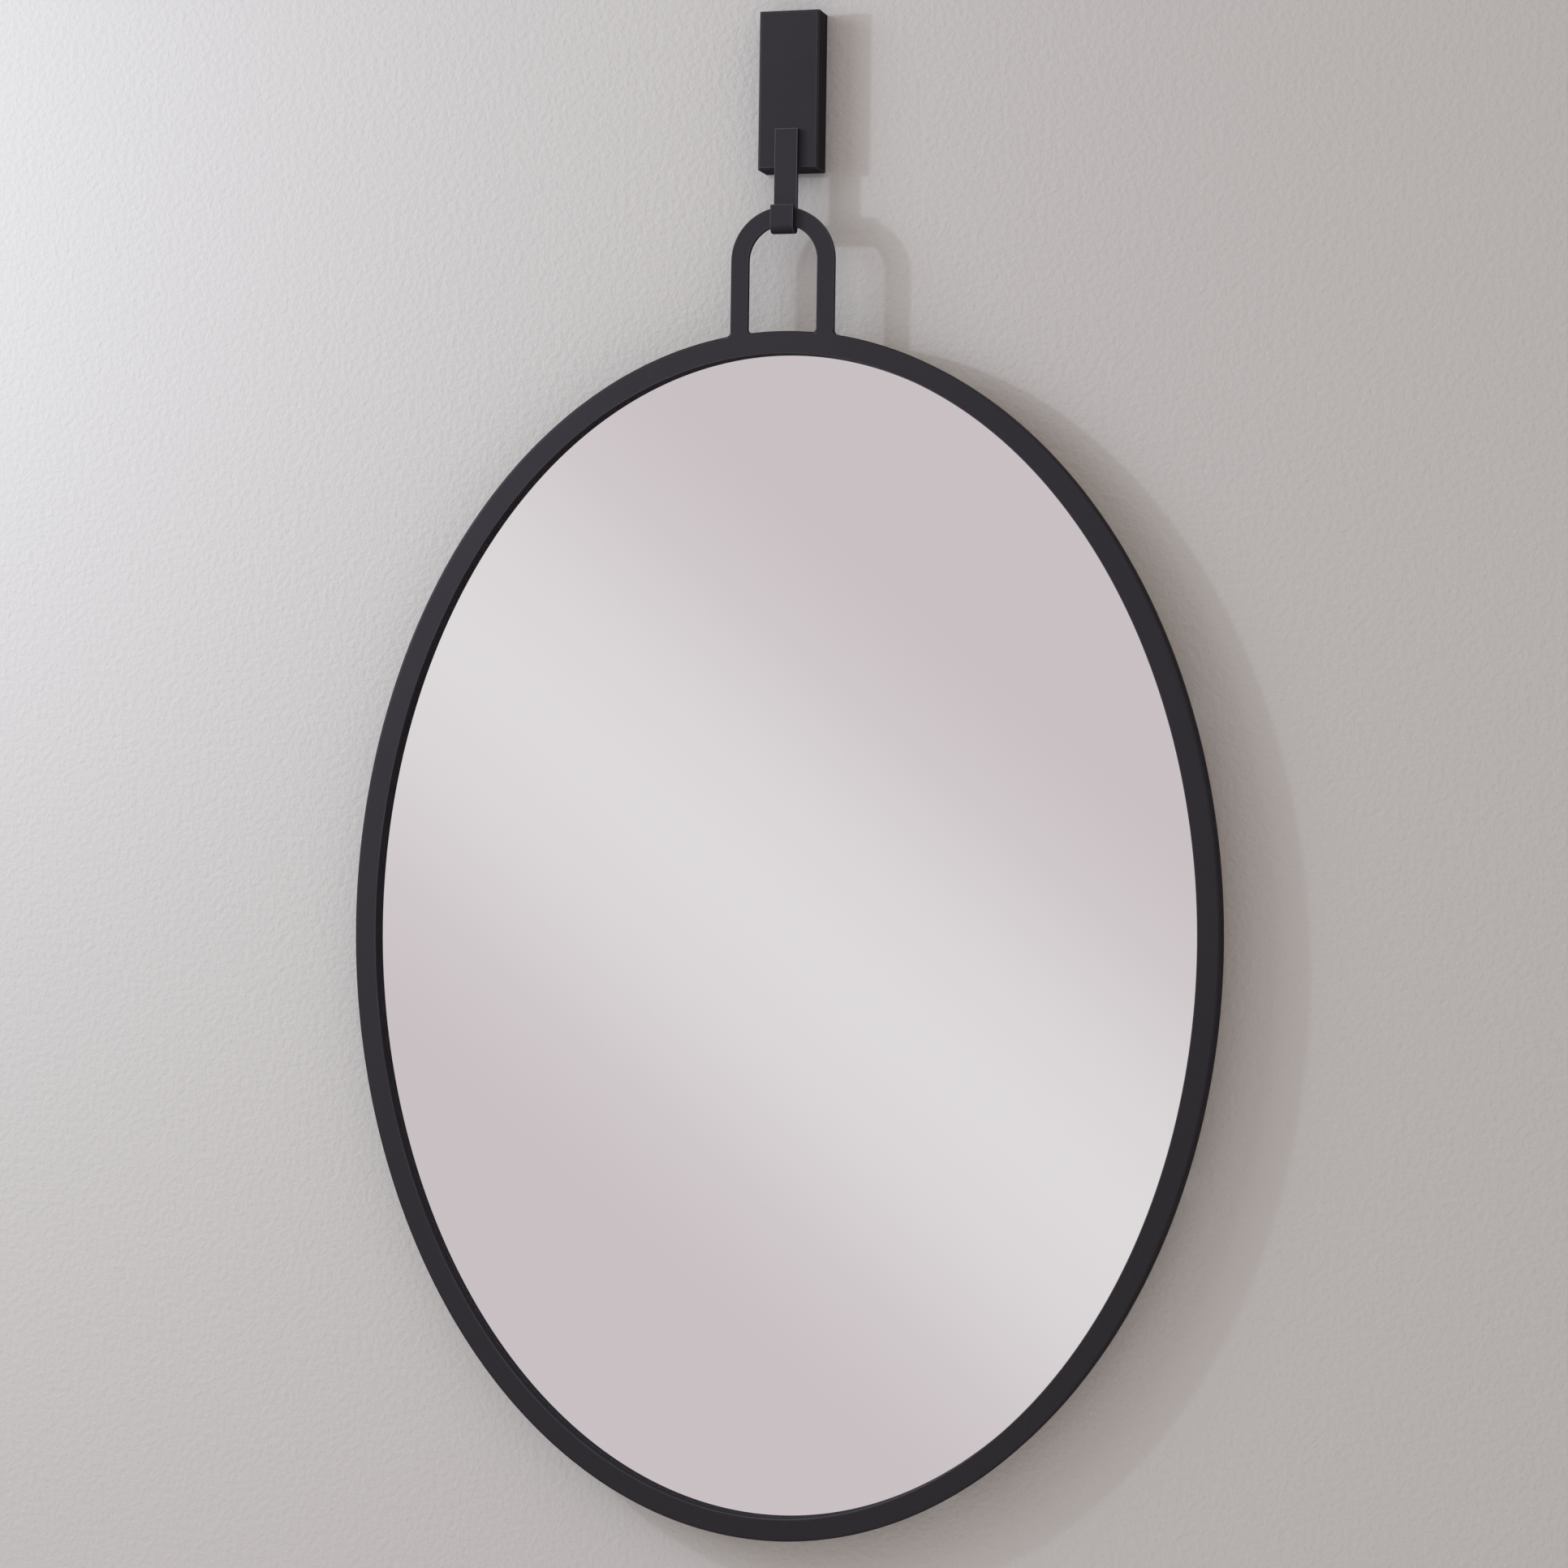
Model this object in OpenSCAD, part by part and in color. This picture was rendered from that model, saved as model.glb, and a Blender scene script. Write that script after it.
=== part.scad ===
// Oval wall mirror that hangs by a stirrup-shaped loop in a strap hook on a wall bracket.
// X runs to the right, Z up, and the wall is the plane y = 0 with the room on its negative side.
// The origin is the middle of the bracket where it meets the wall.
// Depths are distances from the wall, measured towards the room.

/* [Frame] */
// Width of the oval frame over its outer edge
frame_w = 610; // [420:1:800]
// Height of the oval frame over its outer edge
frame_h = 823; // [560:1:1100]
// Width of the front band, seen from the front
band_w = 15.5; // [14:0.5:24]
// Thickness of the front band, from its face to the glass seat
lip_t = 6.5; // [4:0.5:10]
// Thickness of the outer wall that runs back from the band
rim_wall = 6.5; // [6:0.5:8]
// Rounding of the outer front edge
edge_r = 2; // [0.5:0.5:3]
// Small bevel of the inner front edge
inner_bevel = 0.5; // [0.2:0.1:1]

/* [Glass and back] */
// Thickness of the mirror glass
glass_t = 4; // [3:0.5:6]
// Thickness of the foam tape between band and glass
tape_t = 0.5; // [0.3:0.1:1.5]
// How far the tape stays back from the visible edge of the band
tape_setback = 1.5; // [0.5:0.5:3]
// Gap between the edge of the glass and the outer wall
glass_gap = 1.5; // [1:0.5:2.5]
// Thickness of the backing board
board_t = 6; // [4:0.5:10]
// Gap between the edge of the board and the outer wall
board_gap = 1; // [0.5:0.5:2]
// Length of each setting block along the edge of the glass
block_l = 24; // [12:1:40]
// Angle of the setting blocks away from the lowest and highest points
block_angle = 28; // [15:1:40]

/* [Retaining clips] */
// Number of clips round the back of the frame
clip_count = 8; // [4:1:12]
// Width of a clip
clip_w = 12; // [10:1:20]
// Length of a clip from its screw to its far end
clip_reach = 16; // [12:1:30]
// Thickness of a clip
clip_t = 1.5; // [1:0.5:3]
// How far a clip stays back from the outer edge of the frame
clip_setback = 0.4; // [0.2:0.1:1]
// Diameter of the clip screws
clip_screw_d = 3; // [2.5:0.5:3.5]
// Length of a clip screw below its head
clip_screw_l = 7; // [5:0.5:9]

/* [Wall bumpers] */
// Distance between the left and right bumpers
bumper_span_x = 300; // [160:5:400]
// Distance between the upper and lower bumpers
bumper_span_z = 460; // [200:5:600]
// Diameter of a bumper at the board
bumper_d = 20; // [14:1:30]
// Diameter of a bumper at the wall
bumper_tip_d = 15; // [12:1:24]
// Diameter of the bumper screws
bumper_screw_d = 3.5; // [3:0.5:4]
// How deep a bumper screw goes into the board
bumper_screw_grip = 5; // [3:0.5:5.5]
// How far a bumper stays off the wall
bumper_air = 0.5; // [0.3:0.1:2]
// Thickness of the rubber under the screw head of a bumper
bumper_floor_t = 2; // [1:0.5:4]

/* [Hanging loop] */
// Outer width of the loop
loop_w = 73; // [60:1:110]
// Width of the flat bar that the loop is made of
loop_band = 12.4; // [8:0.2:16]
// Thickness of the loop
loop_t = 4; // [3:0.5:6]
// Height of the straight legs above the top of the frame
leg_h = 47.6; // [30:0.2:90]
// Rounding where the outer side of a leg meets the frame
foot_r = 4; // [1:0.5:8]
// Rounding where the inner side of a leg meets the frame
inner_foot_r = 2.5; // [1:0.5:5]

/* [Hook] */
// Width of the hook strap
strap_w = 16; // [10:1:20]
// Thickness of the hook strap
strap_t = 4; // [3:0.5:6]
// How far the strap reaches up the face of the bracket
strap_overlap = 27; // [24:1:45]
// Drop from the bottom of the bracket to the seat of the hook
seat_drop = 41; // [38:1:80]
// Height of the front lip above the seat
hook_lip_h = 15; // [13:0.5:20]
// Inner radius of the two bends
bend_r = 1; // [0.5:0.5:1.5]
// Air between the loop and the strap, and between the loop and the lip
loop_air = 0.5; // [0.4:0.1:1.5]
// Air between the loop and the seat that it rests on
seat_air = 0.3; // [0.2:0.05:0.5]

/* [Bracket box] */
// Width of the box
box_w = 42; // [36:1:70]
// Height of the box
box_h = 108; // [90:1:160]
// Depth of the box from the wall to its face
box_d = 22; // [20:1:40]
// Thickness of the sheet that the box is folded from
box_wall = 2.5; // [1.5:0.5:3]
// Bevel of the front edges
box_bevel = 1.2; // [0.5:0.1:1.4]

/* [Wall plate] */
// Thickness of the wall plate
plate_t = 3; // [2:0.5:4]
// Air between the plate and the inside of the box
plate_air = 0.3; // [0.2:0.05:0.6]
// Depth of the two flanges that carry the box
flange_d = 14; // [11:0.5:17]
// Diameter of the holes for the wall screws
wall_hole_d = 5.5; // [4:0.5:7]
// Distance between the two wall screw holes
wall_hole_span = 60; // [40:1:70]

/* [Bracket screws] */
// Diameter of the screws that hold the strap and the box
bracket_screw_d = 4; // [3:0.5:5]
// Distance between the two strap screws
strap_screw_span = 11; // [9:1:14]
// How deep the strap screws go into the strap
strap_screw_grip = 3; // [2:0.5:3.5]
// Thickness of the washers under the strap screws
washer_t = 0.8; // [0.5:0.1:1.5]
// Distance of the box screws from the wall
box_screw_depth = 8; // [6.5:0.5:9]

/* [Hidden] */
$fn = 48;

// Air round a screw in its hole, spare depth at the bottom of the hole, and an overshoot for clean cuts
screw_air = 0.05;
hole_spare = 0.3;
cut = 1;

// Flat sides in the oval, the same in every piece so that they meet face to face
oval_sides = 144;
// Steps in the rounding of the outer front edge
edge_steps = 4;
// Bevel at the tip of a bumper, and air round the screw head in it
bumper_bevel = 1;
bumper_well_air = 0.5;
// How far the rounding at the foot of a leg sinks into the leg and the frame
foot_sink = 1;

// Pan head screws and washers, as shares of the screw's diameter
head_r_share = 0.95;
head_t_share = 0.6;
washer_r_share = 1.15;
// Length and width of the cross recess, as shares of the radius of the head
recess_l_share = 1.1;
recess_w_share = 0.28;
// Radius of the hexagon socket, as a share of the radius of the headless screws
socket_r_share = 0.55;

// Depths of the layers, from the front to the wall
strap_front = box_d + strap_t;
loop_back = strap_front + loop_air;
front = loop_back + loop_t;
lip_front = front + loop_air + strap_t;
lip_back = front - lip_t;
glass_front = lip_back - tape_t;
glass_back = glass_front - glass_t;
rim_back = glass_back - board_t;
clip_back = rim_back - clip_t;

// Heights
box_bottom = -box_h / 2;
seat_z = box_bottom - seat_drop;
strap_bottom = seat_z - strap_t;
strap_top = box_bottom + strap_overlap;
loop_ro = loop_w / 2;
loop_ri = loop_ro - loop_band;
// The inside of the arch rests on the two long edges of the strap
arch_z = seat_z + seat_air - sqrt(loop_ri * loop_ri - strap_w * strap_w / 4);
rim_top = arch_z - leg_h;
rim_rx = frame_w / 2;
rim_rz = frame_h / 2;
rim_z = rim_top - rim_rz;

// Where the screws are, in the front view
clip_angles = [for (i = [0 : clip_count - 1]) (i + 0.5) * 360 / clip_count];
clip_points = [for (a = clip_angles) oval_point(a, rim_wall / 2) + [0, rim_z]];
bumper_points = [for (sx = [-1, 1], sz = [-1, 1])
    [sx * bumper_span_x / 2, rim_z + sz * bumper_span_z / 2]];
strap_screw_mid = (box_bottom + box_wall + strap_top) / 2;
strap_screw_points = [for (side = [-1, 1]) [0, strap_screw_mid + side * strap_screw_span / 2]];
wall_hole_points = [for (side = [-1, 1]) [0, side * wall_hole_span / 2]];

// The wall plate fills the box
plate_w = box_w - 2 * (box_wall + plate_air);
plate_h = box_h - 2 * (box_wall + plate_air);

// Point of the oval at an angle, moved inwards square to the edge
function oval_point(angle, inset) =
    let (nx = cos(angle) / rim_rx, nz = sin(angle) / rim_rz, n = norm([nx, nz]))
    [rim_rx * cos(angle) - inset * nx / n, rim_rz * sin(angle) - inset * nz / n];

// Direction that is square to the edge of the oval at an angle
function oval_heading(angle) = atan2(sin(angle) / rim_rz, cos(angle) / rim_rx);

// Height of the outer edge of the frame at a distance from its middle
function rim_height(x) = rim_z + rim_rz * sqrt(1 - x * x / (rim_rx * rim_rx));

// Extrudes a front view from one depth towards the room
module slab(depth, thick) {
    translate([0, -depth, 0]) rotate([90, 0, 0]) linear_extrude(thick) children();
}

// Extrudes a side view (depth, height) across the middle of the part
module across(width) {
    translate([width / 2, 0, 0]) rotate([90, 0, -90]) linear_extrude(width) children();
}

module oval(inset) {
    translate([0, rim_z])
        polygon([for (i = [0 : oval_sides - 1]) oval_point(360 * i / oval_sides, inset)]);
}

module oval_ring(outer_inset, inner_inset) {
    difference() {
        oval(outer_inset);
        oval(inner_inset);
    }
}

// Front view frame at a point of the oval's edge, with its first axis pointing outwards
module on_edge(angle, inset) {
    translate(oval_point(angle, inset) + [0, rim_z]) rotate(oval_heading(angle)) children();
}

// Round holes for a list of points, from one depth towards the room
module holes(points, d, depth, thick) {
    slab(depth, thick) for (p = points) translate(p) circle(d / 2 + screw_air);
}

// Pan head screws for a list of points, driven towards the room; seat is the depth under the head
module pan_screws(points, d, seat, length) {
    head_r = d * head_r_share;
    head_t = d * head_t_share;
    for (p = points) translate([p[0], 0, p[1]]) {
        slab(seat, length) circle(d / 2);
        difference() {
            slab(seat - head_t, head_t) circle(head_r);
            slab(seat - head_t - cut, head_t / 2 + cut) {
                square([head_r * recess_l_share, head_r * recess_w_share], center = true);
                square([head_r * recess_w_share, head_r * recess_l_share], center = true);
            }
        }
    }
}

// Cross section of the frame as [inset, depth], round the outside and back through the rebate
rim_section = concat(
    [[0, rim_back]],
    [for (i = [0 : edge_steps]) let (a = 90 * i / edge_steps)
        [edge_r * (1 - cos(a)), front - edge_r * (1 - sin(a))]],
    [[band_w - inner_bevel, front], [band_w, front - inner_bevel],
     [band_w, lip_back], [rim_wall, lip_back], [rim_wall, rim_back]]);

module rim_bar() {
    m = len(rim_section);
    points = [for (i = [0 : oval_sides - 1], s = rim_section)
        let (p = oval_point(360 * i / oval_sides, s[0])) [p[0], -s[1], rim_z + p[1]]];
    faces = [for (i = [0 : oval_sides - 1], k = [0 : m - 1])
        let (a = i * m + k, b = i * m + (k + 1) % m,
             c = (i + 1) % oval_sides * m + k, d = (i + 1) % oval_sides * m + (k + 1) % m)
        each [[a, c, b], [b, c, d]]];
    polyhedron(points, faces);
}

module frame_rim() {
    color([0.10, 0.10, 0.11]) difference() {
        rim_bar();
        holes(clip_points, clip_screw_d, rim_back - cut, clip_screw_l - clip_t + hole_spare + cut);
        slab(loop_back, loop_t + cut) loop_outline();
    }
}

// Arch and legs with a rounded foot on each side of each leg, let into the edge of the frame
module loop_outline() {
    foot_z = rim_height(loop_ro) - edge_r - cut;
    module upright(r) {
        translate([0, arch_z]) circle(r, $fn = 96);
        translate([-r, foot_z]) square([2 * r, arch_z - foot_z]);
    }
    difference() {
        union() {
            difference() {
                upright(loop_ro);
                upright(loop_ri);
            }
            for (side = [-1, 1]) {
                foot_fillet(side, loop_ro, foot_r);
                foot_fillet(-side, -loop_ri, inner_foot_r);
            }
        }
        oval(edge_r);
    }
}

// Fills the corner between a leg and the frame; x is the side of the leg that it starts from
module foot_fillet(side, x, r) {
    centre_z = rim_height(x + r) + r;
    mirror([side < 0 ? 1 : 0, 0]) difference() {
        translate([x - foot_sink, rim_height(x + r) - foot_sink]) square(r + foot_sink);
        translate([x + r, centre_z]) circle(r);
    }
}

module hanging_loop() {
    color([0.11, 0.11, 0.12]) slab(loop_back, loop_t) loop_outline();
}

module mirror_glass() {
    color([0.80, 0.80, 0.80]) slab(glass_back, glass_t) oval(rim_wall + glass_gap);
}

module glass_tape() {
    color([0.20, 0.20, 0.20])
        slab(glass_front, tape_t) oval_ring(rim_wall + glass_gap, band_w - tape_setback);
}

module setting_blocks() {
    color([0.15, 0.15, 0.15]) slab(glass_back, glass_t) intersection() {
        oval_ring(rim_wall, rim_wall + glass_gap);
        for (pole = [90, 270], side = [-1, 1])
            on_edge(pole + side * block_angle, rim_wall)
                square([2 * (glass_gap + cut), block_l], center = true);
    }
}

module backing_board() {
    color([0.50, 0.38, 0.26]) difference() {
        slab(rim_back, board_t) oval(rim_wall + board_gap);
        holes(bumper_points, bumper_screw_d, rim_back - cut, bumper_screw_grip + hole_spare + cut);
    }
}

// Tongue from the outer wall over the board, with its hole at the origin
module clip_plate() {
    outer_end = rim_wall / 2 - clip_setback;
    difference() {
        union() {
            translate([clip_w / 2 - clip_reach, 0]) circle(clip_w / 2);
            translate([clip_w / 2 - clip_reach, -clip_w / 2])
                square([outer_end + clip_reach - clip_w / 2, clip_w]);
        }
        circle(clip_screw_d / 2 + screw_air);
    }
}

module retaining_clips() {
    color([0.60, 0.60, 0.62])
        slab(clip_back, clip_t) for (a = clip_angles) on_edge(a, rim_wall / 2) clip_plate();
}

module clip_screws() {
    color([0.65, 0.65, 0.67]) pan_screws(clip_points, clip_screw_d, clip_back, clip_screw_l);
}

// Round rubber foot with a sunk screw, drawn as a turned section that starts at the board
module bumper_body() {
    h = rim_back - bumper_air;
    hole_r = bumper_screw_d / 2 + screw_air;
    well_r = bumper_screw_d * head_r_share + bumper_well_air;
    rotate_extrude() polygon([
        [hole_r, 0], [bumper_d / 2, 0], [bumper_d / 2, bumper_floor_t],
        [bumper_tip_d / 2, h - bumper_bevel], [bumper_tip_d / 2 - bumper_bevel, h],
        [well_r, h], [well_r, bumper_floor_t], [hole_r, bumper_floor_t]]);
}

module wall_bumpers() {
    color([0.08, 0.08, 0.08]) for (p = bumper_points)
        translate([p[0], -rim_back, p[1]]) rotate([-90, 0, 0]) bumper_body();
}

module bumper_screws() {
    color([0.62, 0.62, 0.64]) pan_screws(bumper_points, bumper_screw_d, rim_back - bumper_floor_t,
                                         bumper_floor_t + bumper_screw_grip);
}

// Side view of the strap: down the face of the box, forward under the loop and up in front of it
module strap_section() {
    outer_r = bend_r + strap_t;
    slot = loop_t + 2 * loop_air;
    difference() {
        union() {
            translate([box_d, strap_bottom + outer_r])
                square([strap_t, strap_top - strap_bottom - outer_r]);
            translate([box_d + outer_r, strap_bottom]) square([lip_front - box_d - 2 * outer_r, strap_t]);
            translate([lip_front - strap_t, strap_bottom + outer_r])
                square([strap_t, seat_z + hook_lip_h - strap_bottom - outer_r]);
            translate([box_d + outer_r, strap_bottom + outer_r]) circle(outer_r);
            translate([lip_front - outer_r, strap_bottom + outer_r]) circle(outer_r);
        }
        translate([strap_front + bend_r, seat_z]) square([slot - 2 * bend_r, hook_lip_h + cut]);
        translate([strap_front, seat_z + bend_r]) square([slot, hook_lip_h + cut]);
        for (x = [strap_front + bend_r, strap_front + slot - bend_r])
            translate([x, seat_z + bend_r]) circle(bend_r);
    }
}

module hook_strap() {
    color([0.10, 0.10, 0.11]) difference() {
        across(strap_w) strap_section();
        holes(strap_screw_points, bracket_screw_d, box_d - cut, strap_screw_grip + hole_spare + cut);
    }
}

module strap_screws() {
    color([0.62, 0.62, 0.64]) pan_screws(strap_screw_points, bracket_screw_d, box_d - box_wall - washer_t,
                                         washer_t + box_wall + strap_screw_grip);
}

module strap_washers() {
    depth = box_d - box_wall - washer_t;
    color([0.68, 0.68, 0.70]) difference() {
        slab(depth, washer_t)
            for (p = strap_screw_points) translate(p) circle(bracket_screw_d * washer_r_share);
        holes(strap_screw_points, bracket_screw_d, depth - cut, washer_t + 2 * cut);
    }
}

// Outline of the box as [depth, distance from the middle], with bevelled front edges
module bevelled_side(half) {
    polygon([[0, -half], [box_d - box_bevel, -half], [box_d, -half + box_bevel],
             [box_d, half - box_bevel], [box_d - box_bevel, half], [0, half]]);
}

module bracket_box() {
    color([0.11, 0.11, 0.12]) difference() {
        intersection() {
            across(box_w) bevelled_side(box_h / 2);
            translate([0, 0, -box_h / 2]) rotate([0, 0, -90])
                linear_extrude(box_h) bevelled_side(box_w / 2);
        }
        slab(-cut, box_d - box_wall + cut)
            square([box_w - 2 * box_wall, box_h - 2 * box_wall], center = true);
        holes(strap_screw_points, bracket_screw_d, box_d - box_wall - cut, box_wall + 2 * cut);
        box_screw_holes();
    }
}

// Holes through the top and bottom of the box and through the flanges behind them
module box_screw_holes() {
    translate([0, -box_screw_depth, -box_h / 2 - cut])
        cylinder(h = box_h + 2 * cut, r = bracket_screw_d / 2 + screw_air);
}

module wall_plate() {
    color([0.62, 0.62, 0.64]) difference() {
        union() {
            slab(0, plate_t) square([plate_w, plate_h], center = true);
            for (side = [-1, 1])
                slab(0, flange_d) translate([0, side * (plate_h - plate_t) / 2])
                    square([plate_w, plate_t], center = true);
        }
        slab(-cut, plate_t + 2 * cut) for (p = wall_hole_points) translate(p) circle(wall_hole_d / 2);
        box_screw_holes();
    }
}

// Headless screws, flush with the box, with a hexagon socket in the outer end
module box_screws() {
    length = box_wall + plate_air + plate_t;
    r = bracket_screw_d / 2;
    color([0.12, 0.12, 0.13]) for (flip = [0, 1])
        mirror([0, 0, flip]) translate([0, -box_screw_depth, box_h / 2 - length]) difference() {
            cylinder(h = length, r = r);
            translate([0, 0, length - r]) cylinder(h = r + cut, r = r * socket_r_share, $fn = 6);
        }
}

wall_plate();
bracket_box();
box_screws();
hook_strap();
strap_screws();
strap_washers();
frame_rim();
hanging_loop();
mirror_glass();
glass_tape();
setting_blocks();
backing_board();
retaining_clips();
clip_screws();
wall_bumpers();
bumper_screws();
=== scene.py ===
"""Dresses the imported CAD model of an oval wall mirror: finishes, rounded edges, stage, lamps and camera."""

import math

import bmesh
import bpy
from bpy.props import FloatProperty, FloatVectorProperty, IntProperty, PointerProperty
from bpy.types import Operator, Panel, PropertyGroup
from mathutils import Matrix, Vector


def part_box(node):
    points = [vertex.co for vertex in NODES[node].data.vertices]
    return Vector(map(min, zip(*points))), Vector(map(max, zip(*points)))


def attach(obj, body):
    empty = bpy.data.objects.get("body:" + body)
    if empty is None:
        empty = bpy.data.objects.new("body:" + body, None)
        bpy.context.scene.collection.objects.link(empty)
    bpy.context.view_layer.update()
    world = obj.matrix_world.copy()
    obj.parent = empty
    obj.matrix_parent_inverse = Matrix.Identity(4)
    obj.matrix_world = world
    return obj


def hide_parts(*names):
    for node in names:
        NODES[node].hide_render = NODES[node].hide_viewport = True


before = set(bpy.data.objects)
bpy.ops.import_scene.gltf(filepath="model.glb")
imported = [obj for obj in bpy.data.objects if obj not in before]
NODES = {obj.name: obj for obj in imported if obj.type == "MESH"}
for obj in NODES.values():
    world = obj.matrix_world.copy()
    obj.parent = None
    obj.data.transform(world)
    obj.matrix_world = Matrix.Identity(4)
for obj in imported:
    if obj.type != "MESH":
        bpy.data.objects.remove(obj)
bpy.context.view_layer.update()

bl_info = {
    "name": "Oval wall mirror",
    "version": (1, 0, 0),
    "blender": (4, 5, 0),
    "location": "View3D > Sidebar > Mirror",
    "description": "Finishes, stage, lamps and camera for an oval wall mirror that hangs on a strap hook",
    "category": "3D View",
}

# Seams closer than the gap are welded, faces that turn by less than the flat angle are joined, and edges
# that turn by more than the sharp angle are rounded
WELD_GAP = 1e-6
FLAT_ANGLE = math.radians(0.3)
SHARP_ANGLE = math.radians(30)
ROUNDING_SEGMENTS = 3

# How much more the large faces of frame and loop count than the small ones where their shading meets
LARGE_FACE_WEIGHT = 100

# A face of the glass belongs to its front or back when its normal has this much in that direction
FACING = 0.5

# Values between which an effect goes from none to full: of a noise, a cosine or the depth of a foam cell
PATCH_NOISE = (0.30, 0.70)
EDGE_COSINES = (0.995, 0.90)
SPECK_NOISE = (0.62, 0.78)
GROUND_NOISE = (0.35, 0.70)
FIBRE_NOISE = (0.42, 0.68)
FLECK_NOISE = (0.60, 0.66)
BOARD_COSINES = (0.30, 0.70)
WORN_NOISE = (0.40, 0.60)
DUST_NOISE = (0.40, 0.70)
CELL_DEPTHS = (0.0, 0.70)
WHOLE_NOISE = (0.30, 0.70)


def colour_prop(name, description, default):
    """A linear RGB colour that the sidebar can change"""
    return FloatVectorProperty(name=name, description=description, subtype="COLOR", size=3,
                               min=0, max=1, default=default)


def length_prop(name, description, default):
    """A length in metres that the sidebar can change"""
    return FloatProperty(name=name, description=description, subtype="DISTANCE", unit="LENGTH",
                         min=0, precision=5, default=default)


def share_prop(name, description, default):
    """A share from 0 to 1 that the sidebar can change"""
    return FloatProperty(name=name, description=description, subtype="FACTOR", min=0, max=1,
                         default=default)


def place_prop(name, description, default):
    """A point in metres that the sidebar can change"""
    return FloatVectorProperty(name=name, description=description, subtype="TRANSLATION", unit="LENGTH",
                               size=3, default=default)


def power_prop(name, description, default):
    """The power of a lamp in watts that the sidebar can change"""
    return FloatProperty(name=name, description=description, unit="POWER", min=0, default=default)


def angle_prop(name, description, degrees):
    """An angle that the sidebar can change"""
    return FloatProperty(name=name, description=description, subtype="ANGLE", unit="ROTATION",
                         default=math.radians(degrees))


class CoatLook(PropertyGroup):
    """Black powder coat on frame, loop, hook and bracket"""

    colour: colour_prop("Colour", "Colour of the coat on flat faces", (0.047, 0.0435, 0.050))
    # The colour along the edges is partly a thinner coat and partly a painted highlight on the rounded edges
    thin_coat_and_highlight_colour: colour_prop("Thin colour", "Colour of the coat where it is thin, along the edges",
                             (0.21, 0.198, 0.215))
    roughness: share_prop("Roughness", "Roughness of the smoothest patches", 0.50)
    roughness_spread: share_prop("Roughness spread", "How much rougher the dullest patches are", 0.10)
    gloss: share_prop("Gloss", "Share of the light that the rough surface reflects as a broad gloss", 0.70)
    edge_gloss: share_prop("Edge gloss", "How much of that gloss is left at a grazing angle", 0.40)
    patch_size: length_prop("Patch size", "Size of the dull and smooth patches", 0.07)
    grain_size: length_prop("Grain size", "Width of one grain of the cured powder", 0.0007)
    grain_height: length_prop("Grain height", "Height of the grains", 0.00004)
    specks: share_prop("Specks", "How much of the thin colour the highest grains show", 0.12)
    edge_width: length_prop("Edge width", "Width of the thin coat along an edge", 0.0012)
    edge_least: share_prop("Edge least", "How much of the thin colour an edge shows in a smooth patch", 0.4)
    edge_most: share_prop("Edge most", "How much of the thin colour an edge shows in a dull patch", 0.9)


class BandShape(PropertyGroup):
    """Cross section of the oval band, the same as in the solid that it stands for"""

    width: length_prop("Width", "Width of the band, seen from the front", 0.0155)
    lip: length_prop("Lip", "Thickness of the band from its face to the glass seat", 0.0065)
    wall: length_prop("Wall", "Thickness of the outer wall behind the band", 0.0065)
    outer_rounding: length_prop("Outer rounding", "Radius of the outer front edge", 0.002)
    small_rounding: length_prop("Small rounding", "Radius of the other edges", 0.0005)
    steps: IntProperty(name="Steps", description="Steps round the oval", min=96, default=288)
    outer_steps: IntProperty(name="Outer steps", description="Steps in the outer rounding", min=2,
                             default=8)
    small_steps: IntProperty(name="Small steps", description="Steps in each small rounding", min=1,
                             default=3)


class LoopShape(PropertyGroup):
    """Outline of the hanging loop, the same as in the solid that it stands for"""

    width: length_prop("Width", "Outer width of the loop", 0.073)
    bar: length_prop("Bar", "Width of the flat bar that the loop is made of", 0.0124)
    foot: length_prop("Foot", "Radius of the foot on the outside of a leg", 0.004)
    inner_foot: length_prop("Inner foot", "Radius of the foot on the inside of a leg", 0.0025)
    sink: length_prop("Sink", "How far the legs reach into the band", 0.004)
    arch_steps: IntProperty(name="Arch steps", description="Steps round the arch", min=12, default=64)
    foot_step: length_prop("Foot step", "Height of one step in the feet", 0.0005)


class GlassLook(PropertyGroup):
    """Silvered glass with a clear ground edge and a painted back"""

    silver: colour_prop("Silver", "Reflectance of the silvered face", (0.90, 0.905, 0.90))
    haze: share_prop("Haze", "Roughness of the silvered face where it is clear", 0.008)
    wiped_haze: share_prop("Wiped haze", "Roughness of the silvered face where it was wiped", 0.016)
    wipe_size: length_prop("Wipe size", "Size of the wiped patches", 0.12)
    edge: colour_prop("Edge", "Colour of the ground edge", (0.22, 0.38, 0.32))
    edge_pale: FloatProperty(name="Pale edge", description="How much brighter its highest grains are",
                             min=1, default=1.5)
    edge_roughness: share_prop("Edge roughness", "Roughness of the ground edge", 0.35)
    edge_grain: length_prop("Edge grain", "Size of the grain of the ground edge", 0.0005)
    edge_grain_height: length_prop("Edge grain height", "Height of that grain", 0.00002)
    paint: colour_prop("Paint", "Colour of the paint on the back", (0.16, 0.17, 0.18))
    paint_dark: share_prop("Dark paint", "Brightness of the paint in its darkest patches", 0.8)
    paint_patch: length_prop("Paint patch", "Size of these patches", 0.15)
    paint_roughness: share_prop("Paint roughness", "Roughness of the paint", 0.55)
    paint_grain: length_prop("Paint grain", "Size of the grain of the paint", 0.002)
    paint_grain_height: length_prop("Paint grain height", "Height of that grain", 0.00003)


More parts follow.
